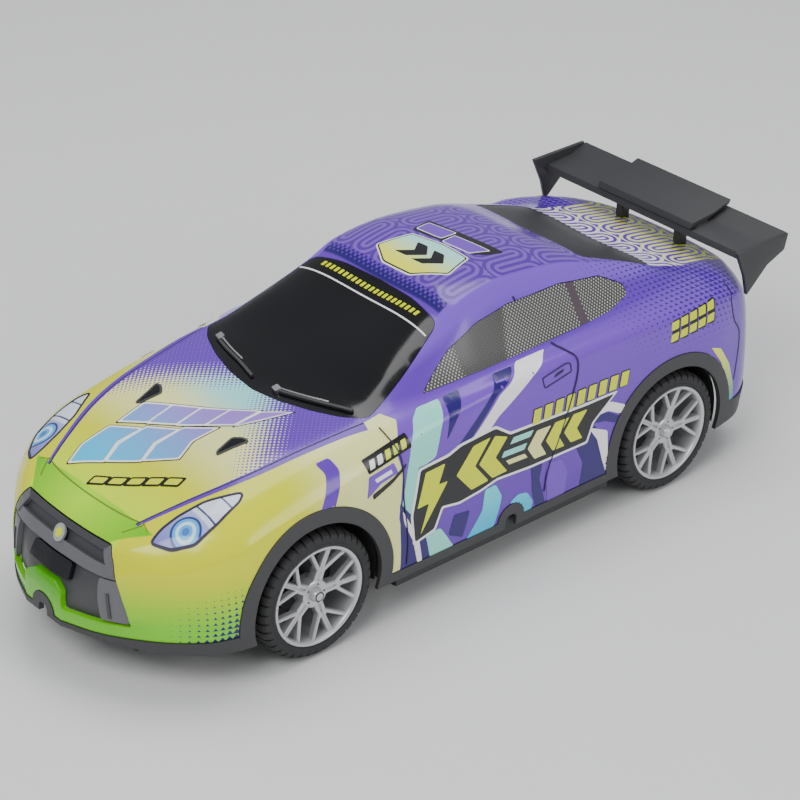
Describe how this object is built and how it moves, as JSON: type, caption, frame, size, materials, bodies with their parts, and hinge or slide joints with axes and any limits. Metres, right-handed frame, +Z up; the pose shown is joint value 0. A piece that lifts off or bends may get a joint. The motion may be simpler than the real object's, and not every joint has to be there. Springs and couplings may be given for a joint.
{
  "type": "rc drift car",
  "caption": "Radio controlled touring coupe for drifting, with a removable printed body, rear wing, steered front wheels and a geared rear axle.",
  "frame": {"origin": "on the ground, under the middle of the car's box", "axes": "+Z up, nose along -Y, the car's left side along +X"},
  "size_m": [0.099, 0.2532, 0.0862],
  "materials": {
    "painted_body": "glossy printed plastic shell",
    "clear_window": "gloss black window moulding",
    "lamp_lens": "clear lamp lens",
    "tail_lens": "red lamp lens",
    "dark_trim": "matte dark grey moulding",
    "chassis_plastic": "black moulded plastic",
    "gear_plastic": "natural nylon",
    "pinion_brass": "turned brass",
    "steel": "plated steel",
    "cell_wrap": "shrink sleeve",
    "board": "solder mask",
    "lamp_bulb": "clear bulb",
    "rim_grey": "satin silver grey",
    "tyre_rubber": "hard drift tyre"
  },
  "bodies": {
    "car": {"axle_bearings": "pinion_brass", "axle_carriers": "chassis_plastic", "battery_cells": "cell_wrap", "battery_cover": "chassis_plastic", "battery_cover_screw": "steel", "body_posts": "chassis_plastic", "body_screws": "steel", "body_shell": "painted_body", "bonnet_vents": "dark_trim", "chassis_tub": "chassis_plastic", "circuit_board": "board", "drive_motor": "steel", "front_axle_beam": "chassis_plastic", "front_grille": "dark_trim", "gear_case": "chassis_plastic", "gear_cover": "chassis_plastic", "headlamp_bulbs": "lamp_bulb", "headlight_left": "lamp_lens", "headlight_right": "lamp_lens", "idler_pin": "steel", "kingpin_bridge": "chassis_plastic", "kingpins": "steel", "lower_trim": "dark_trim", "rear_window": "clear_window", "side_window_left": "clear_window", "side_window_right": "clear_window", "steering_servo": "chassis_plastic", "switch_housing": "chassis_plastic", "taillight_left": "tail_lens", "taillight_right": "tail_lens", "windscreen": "clear_window", "wing_blade": "dark_trim", "wing_endplate_left": "dark_trim", "wing_endplate_right": "dark_trim", "wing_struts": "dark_trim", "wipers": "dark_trim"},
    "left_knuckle": {"knuckle_left": "chassis_plastic", "front_nut_left": "steel"},
    "right_knuckle": {"knuckle_right": "chassis_plastic", "front_nut_right": "steel"},
    "front_left_wheel": {"front_rim_left": "rim_grey", "front_tyre_left": "tyre_rubber"},
    "front_right_wheel": {"front_rim_right": "rim_grey", "front_tyre_right": "tyre_rubber"},
    "rear_axle_set": {"rear_axle": "steel", "axle_gear": "gear_plastic", "rear_wheel_drivers": "steel", "rear_rim_left": "rim_grey", "rear_rim_right": "rim_grey", "rear_tyre_left": "tyre_rubber", "rear_tyre_right": "tyre_rubber", "rear_nuts": "steel"},
    "idler": {"idler_gear": "gear_plastic"},
    "motor_rotor": {"motor_pinion": "pinion_brass", "motor_shaft": "steel"},
    "track_link": {"track_rod": "chassis_plastic"},
    "steering_horn": {"servo_horn": "chassis_plastic"},
    "switch_slider": {"power_switch": "chassis_plastic"},
    "trim_lever": {"steering_trim_lever": "chassis_plastic"}
  },
  "joints": [
    {"name": "steer_left", "type": "hinge", "parent": "car", "child": "left_knuckle", "pos_m": [0.036, -0.066, 0.02], "axis": [0, 0, 1], "range_deg": [-25, 25]},
    {"name": "steer_right", "type": "hinge", "parent": "car", "child": "right_knuckle", "pos_m": [-0.036, -0.066, 0.02], "axis": [0, 0, 1], "range_deg": [-25, 25]},
    {"name": "horn_turn", "type": "hinge", "parent": "car", "child": "steering_horn", "pos_m": [0, -0.066, 0.022], "axis": [0, 0, 1], "range_deg": [-25, 25]},
    {"name": "track_slide", "type": "slide", "parent": "car", "child": "track_link", "axis": [-1, 0, 0], "range_m": [-0.0031, 0.0031]},
    {"name": "front_left_spin", "type": "hinge", "parent": "left_knuckle", "child": "front_left_wheel", "pos_m": [0.044, -0.066, 0.02], "axis": [1, 0, 0], "continuous": true},
    {"name": "front_right_spin", "type": "hinge", "parent": "right_knuckle", "child": "front_right_wheel", "pos_m": [-0.044, -0.066, 0.02], "axis": [1, 0, 0], "continuous": true},
    {"name": "rear_axle_spin", "type": "hinge", "parent": "car", "child": "rear_axle_set", "pos_m": [0, 0.074, 0.02], "axis": [1, 0, 0], "continuous": true},
    {"name": "idler_spin", "type": "hinge", "parent": "car", "child": "idler", "pos_m": [0.01, 0.06125, 0.02342], "axis": [1, 0, 0], "continuous": true},
    {"name": "motor_spin", "type": "hinge", "parent": "car", "child": "motor_rotor", "pos_m": [0.01, 0.04997, 0.02752], "axis": [1, 0, 0], "continuous": true},
    {"name": "switch_slide", "type": "slide", "parent": "car", "child": "switch_slider", "axis": [0, 1, 0], "range_m": [0, 0.0035]},
    {"name": "trim_turn", "type": "hinge", "parent": "car", "child": "trim_lever", "pos_m": [0, -0.088, 0.0084], "axis": [0, 0, 1], "range_deg": [-20, 20]}
  ],
  "couplings": [
    {"joint": "steer_right", "follows": "steer_left", "ratio": 1},
    {"joint": "horn_turn", "follows": "steer_left", "ratio": 1},
    {"joint": "track_slide", "follows": "steer_left", "m_per_rad": 0.007},
    {"joint": "idler_spin", "follows": "rear_axle_spin", "ratio": -2.6667},
    {"joint": "motor_spin", "follows": "rear_axle_spin", "ratio": 8}
  ]
}
